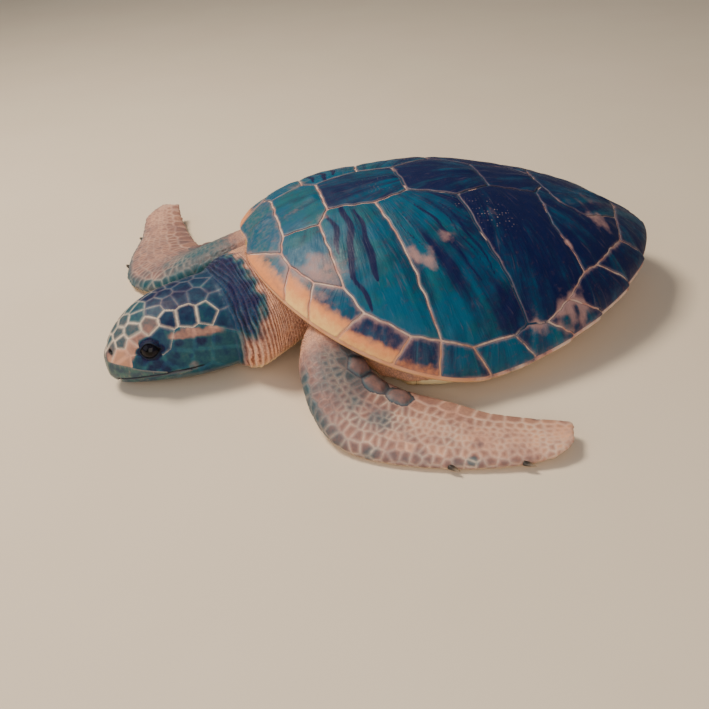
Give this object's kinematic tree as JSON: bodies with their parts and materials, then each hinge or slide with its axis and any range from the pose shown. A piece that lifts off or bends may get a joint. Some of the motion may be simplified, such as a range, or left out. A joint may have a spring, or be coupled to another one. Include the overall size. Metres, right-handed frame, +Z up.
{
  "type": "loggerhead turtle model",
  "caption": "Life-size loggerhead turtle, resting on its plastron and flippers with its head turned a little to its left.",
  "frame": {"origin": "the middle of the bounding box's base, on the floor under the turtle", "axes": "+Z up; the turtle faces -Y, and its left side is at +X, so that X runs across both fore flippers and is the longest"},
  "size_m": [0.866, 0.8166, 0.2075],
  "materials": {
    "carapace": "satin",
    "plastron": "satin",
    "skin": "matte",
    "beak": "satin",
    "eye": "gloss",
    "claw": "satin"
  },
  "bodies": {
    "root": {"carapace": "carapace", "plastron": "plastron", "trunk": "skin", "neck": "skin", "head": "skin", "upper_beak": "beak", "lower_jaw": "beak", "eye_left": "eye", "eye_right": "eye", "tail": "skin", "upper_arm_left": "skin", "upper_arm_right": "skin", "fore_flipper_left": "skin", "fore_flipper_right": "skin", "fore_claw_left_1": "claw", "fore_claw_left_2": "claw", "fore_claw_right_1": "claw", "fore_claw_right_2": "claw", "thigh_left": "skin", "thigh_right": "skin", "hind_flipper_left": "skin", "hind_flipper_right": "skin", "hind_claw_left_1": "claw", "hind_claw_left_2": "claw", "hind_claw_right_1": "claw", "hind_claw_right_2": "claw"}
  },
  "joints": []
}
